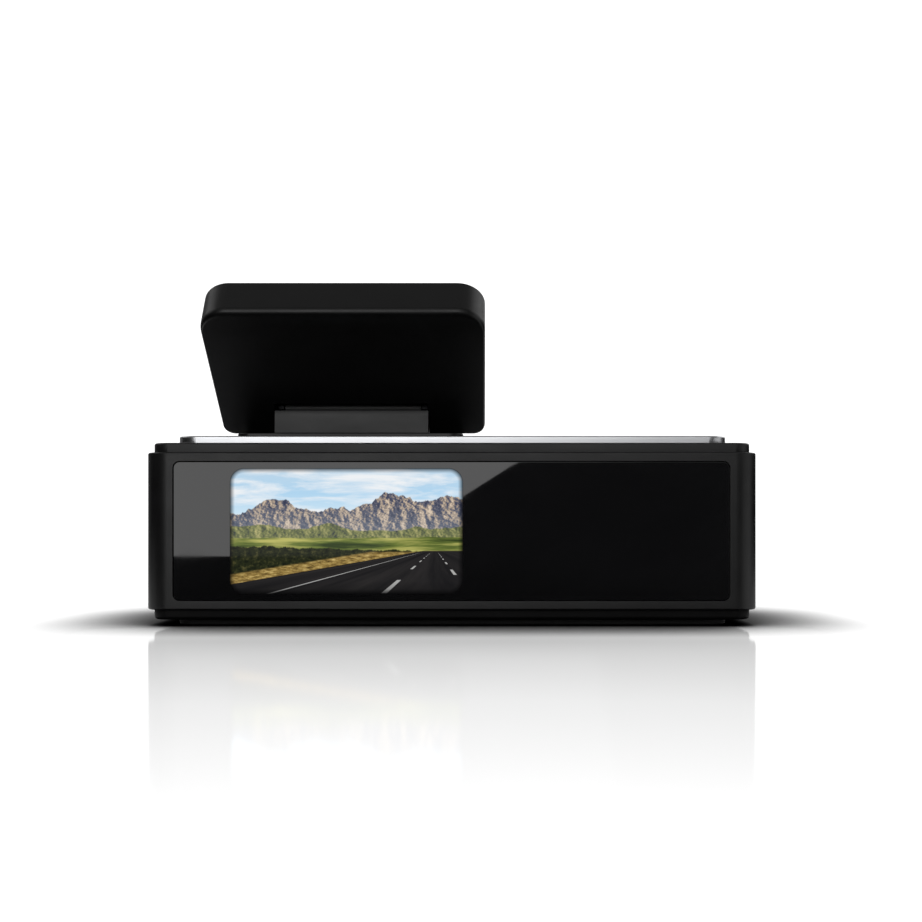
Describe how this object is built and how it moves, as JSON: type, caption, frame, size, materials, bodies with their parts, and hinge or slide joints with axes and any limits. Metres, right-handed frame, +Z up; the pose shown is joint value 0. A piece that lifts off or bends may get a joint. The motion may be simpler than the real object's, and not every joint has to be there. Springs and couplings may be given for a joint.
{
  "type": "dash camera with windscreen mount",
  "caption": "Bar-shaped dash camera with a glass front and small display, side buttons and a slide-off, tilting adhesive windscreen mount.",
  "frame": {"origin": "on the underside of the base pad, under the middle of the camera body", "axes": "+X to the right as the driver sees the display, +Y towards the windscreen, +Z up"},
  "size_m": [0.0858, 0.0416, 0.0481],
  "materials": {
    "housing_plastic": "satin moulded black plastic",
    "cover_plastic": "satin moulded black plastic",
    "trim_metal": "polished metal plate",
    "pad_rubber": "fine-textured black rubber",
    "front_glass": "glossy black-backed glass",
    "adhesive_foam": "foam tape",
    "display_panel": "lit display",
    "stamped_steel": "bright stamped steel",
    "screw_steel": "machined steel",
    "ribbon_film": "amber film",
    "circuit_board": "solder-masked board",
    "chip_epoxy": "moulded epoxy",
    "thermal_silicone": "soft silicone",
    "sink_aluminium": "extruded aluminium",
    "capacitor_sleeve": "shrink sleeve",
    "antenna_ceramic": "fired ceramic",
    "button_plastic": "fine-textured black plastic",
    "light_clear": "clear light pipe",
    "lens_black": "black anodised look",
    "lens_glass": "coated lens glass",
    "mount_plastic": "smooth black plastic"
  },
  "bodies": {
    "camera_body": {"main_housing": "housing_plastic", "top_cover": "cover_plastic", "bottom_cover": "cover_plastic", "top_trim_plate": "trim_metal", "lens_trim_ring": "trim_metal", "base_pad": "pad_rubber", "glass_panel": "front_glass", "glass_adhesive": "adhesive_foam", "display_module": "display_panel", "display_bracket": "stamped_steel", "power_inlet": "stamped_steel", "card_socket": "stamped_steel", "power_switch": "stamped_steel", "record_switch": "stamped_steel", "microphone": "stamped_steel", "image_sensor": "stamped_steel", "top_screw_1": "screw_steel", "top_screw_2": "screw_steel", "top_screw_3": "screw_steel", "top_screw_4": "screw_steel", "bottom_screw_1": "screw_steel", "bottom_screw_2": "screw_steel", "bottom_screw_3": "screw_steel", "bottom_screw_4": "screw_steel", "display_ribbon": "ribbon_film", "sensor_ribbon": "ribbon_film", "main_board": "circuit_board", "sensor_board": "circuit_board", "power_switch_board": "circuit_board", "record_switch_board": "circuit_board", "wireless_antenna": "circuit_board", "processor": "chip_epoxy", "speaker": "chip_epoxy", "thermal_pad": "thermal_silicone", "heat_sink": "sink_aluminium", "supercapacitor_1": "capacitor_sleeve", "supercapacitor_2": "capacitor_sleeve", "satellite_antenna": "antenna_ceramic", "status_light": "light_clear", "status_light_pipe": "light_clear", "lens_holder": "lens_black", "lens_barrel": "lens_black", "lens_bezel": "lens_black", "rear_lens": "lens_glass", "front_lens": "lens_glass"},
    "mount_foot": {"mount_foot": "mount_plastic"},
    "mount_plate": {"mount_plate": "mount_plastic", "mount_plate_cover": "mount_plastic", "adhesive_pad": "adhesive_foam", "hinge_pin": "screw_steel", "friction_washer_1": "screw_steel", "friction_washer_2": "screw_steel"},
    "power_button": {"power_button": "button_plastic"},
    "record_button": {"record_button": "button_plastic"},
    "memory_card": {"memory_card": "chip_epoxy"}
  },
  "joints": [
    {"name": "foot_slide", "type": "slide", "parent": "camera_body", "child": "mount_foot", "axis": [0, 1, 0], "range_m": [0, 0.023]},
    {"name": "plate_tilt", "type": "hinge", "parent": "mount_foot", "child": "mount_plate", "pos_m": [-0.0152, -0.0007, 0.0319], "axis": [1, 0, 0], "range_deg": [-53, 10]},
    {"name": "power_press", "type": "slide", "parent": "camera_body", "child": "power_button", "axis": [-1, 0, 0], "range_m": [0, 0.0005], "stiffness_N_per_m": 3000},
    {"name": "record_press", "type": "slide", "parent": "camera_body", "child": "record_button", "axis": [1, 0, 0], "range_m": [0, 0.0005], "stiffness_N_per_m": 3000},
    {"name": "card_slide", "type": "slide", "parent": "camera_body", "child": "memory_card", "axis": [1, 0, 0], "range_m": [-0.0008, 0.014]}
  ]
}
